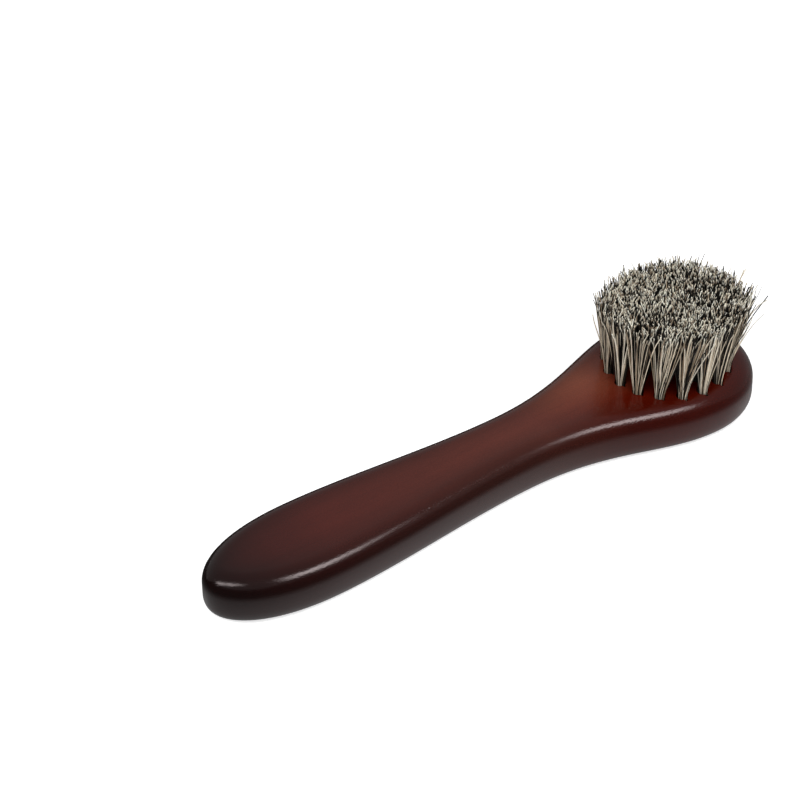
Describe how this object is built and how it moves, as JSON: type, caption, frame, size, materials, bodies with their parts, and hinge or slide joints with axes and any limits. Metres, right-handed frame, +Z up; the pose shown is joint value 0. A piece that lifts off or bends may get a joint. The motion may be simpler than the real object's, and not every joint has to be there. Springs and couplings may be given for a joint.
{
  "type": "polish dauber",
  "caption": "Wooden shoe polish dauber: a paddle-shaped block with a rounded grip, a narrow neck and a round head that carries a flat-trimmed round brush of horsehair tufts.",
  "frame": {"origin": "on the flat back, under the middle of the block's length and width", "axes": "+X along the handle towards the head, +Z up out of the bristle face, +Y across the handle"},
  "size_m": [0.19, 0.0482, 0.0386],
  "materials": {
    "wood": "dark red-brown semi-gloss lacquer, darker towards the edges",
    "hair": "natural mixed horsehair, grey-beige and near black",
    "wire": "plain flat wire"
  },
  "bodies": {
    "root": {"wooden_block": "wood", "inner_tuft_01": "hair", "inner_tuft_02": "hair", "inner_tuft_03": "hair", "inner_tuft_04": "hair", "middle_tuft_01": "hair", "middle_tuft_02": "hair", "middle_tuft_03": "hair", "middle_tuft_04": "hair", "middle_tuft_05": "hair", "middle_tuft_06": "hair", "middle_tuft_07": "hair", "middle_tuft_08": "hair", "outer_tuft_01": "hair", "outer_tuft_02": "hair", "outer_tuft_03": "hair", "outer_tuft_04": "hair", "outer_tuft_05": "hair", "outer_tuft_06": "hair", "outer_tuft_07": "hair", "outer_tuft_08": "hair", "outer_tuft_09": "hair", "outer_tuft_10": "hair", "outer_tuft_11": "hair", "outer_tuft_12": "hair", "outer_tuft_13": "hair", "outer_tuft_14": "hair", "outer_tuft_15": "hair", "outer_tuft_16": "hair", "outer_tuft_17": "hair", "inner_anchor_01": "wire", "inner_anchor_02": "wire", "inner_anchor_03": "wire", "inner_anchor_04": "wire", "middle_anchor_01": "wire", "middle_anchor_02": "wire", "middle_anchor_03": "wire", "middle_anchor_04": "wire", "middle_anchor_05": "wire", "middle_anchor_06": "wire", "middle_anchor_07": "wire", "middle_anchor_08": "wire", "outer_anchor_01": "wire", "outer_anchor_02": "wire", "outer_anchor_03": "wire", "outer_anchor_04": "wire", "outer_anchor_05": "wire", "outer_anchor_06": "wire", "outer_anchor_07": "wire", "outer_anchor_08": "wire", "outer_anchor_09": "wire", "outer_anchor_10": "wire", "outer_anchor_11": "wire", "outer_anchor_12": "wire", "outer_anchor_13": "wire", "outer_anchor_14": "wire", "outer_anchor_15": "wire", "outer_anchor_16": "wire", "outer_anchor_17": "wire"}
  },
  "joints": []
}
